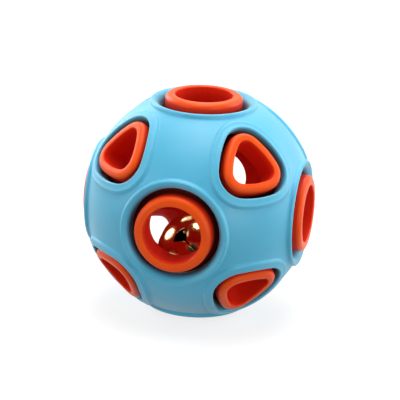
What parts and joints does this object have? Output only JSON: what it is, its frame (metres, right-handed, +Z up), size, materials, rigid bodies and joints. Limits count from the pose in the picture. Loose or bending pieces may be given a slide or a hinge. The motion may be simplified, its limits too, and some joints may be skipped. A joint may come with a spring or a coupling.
{
  "type": "rubber bell ball",
  "caption": "Hollow rubber toy ball with raised rims round its openings, a second rubber ball inside whose collars fill them, and a loose jingle bell that rattles in the middle.",
  "frame": {"origin": "centre of the ball", "axes": "+Z up through the middle of the top round opening, +X and +Y through the middles of two round openings at the sides"},
  "size_m": [0.0784, 0.0784, 0.0784],
  "materials": {
    "blue_rubber": "satin moulded rubber",
    "orange_rubber": "smooth glossy rubber, slightly translucent",
    "bell_brass": "polished plate",
    "loop_brass": "drawn wire",
    "pellet_steel": "tumbled"
  },
  "bodies": {
    "inner_ball": {"inner_ball_upper": "orange_rubber", "inner_ball_lower": "orange_rubber"},
    "outer_ball": {"outer_ball_upper": "blue_rubber", "outer_ball_lower": "blue_rubber"},
    "bell": {"bell_body": "bell_brass", "bell_loop": "loop_brass"},
    "pellet": {"bell_pellet": "pellet_steel"}
  },
  "joints": [
    {"name": "outer_twist", "type": "hinge", "parent": "inner_ball", "child": "outer_ball", "pos_m": [0, 0, 0], "axis": [0, 0, 1], "range_deg": [-2, 2]},
    {"name": "bell_rattle", "type": "slide", "parent": "inner_ball", "child": "bell", "axis": [0, 0, 1], "range_m": [0, 0.0376]},
    {"name": "pellet_roll", "type": "hinge", "parent": "bell", "child": "pellet", "pos_m": [0, 0, -0.01884], "axis": [0.5446, -0.8387, 0], "continuous": true}
  ]
}
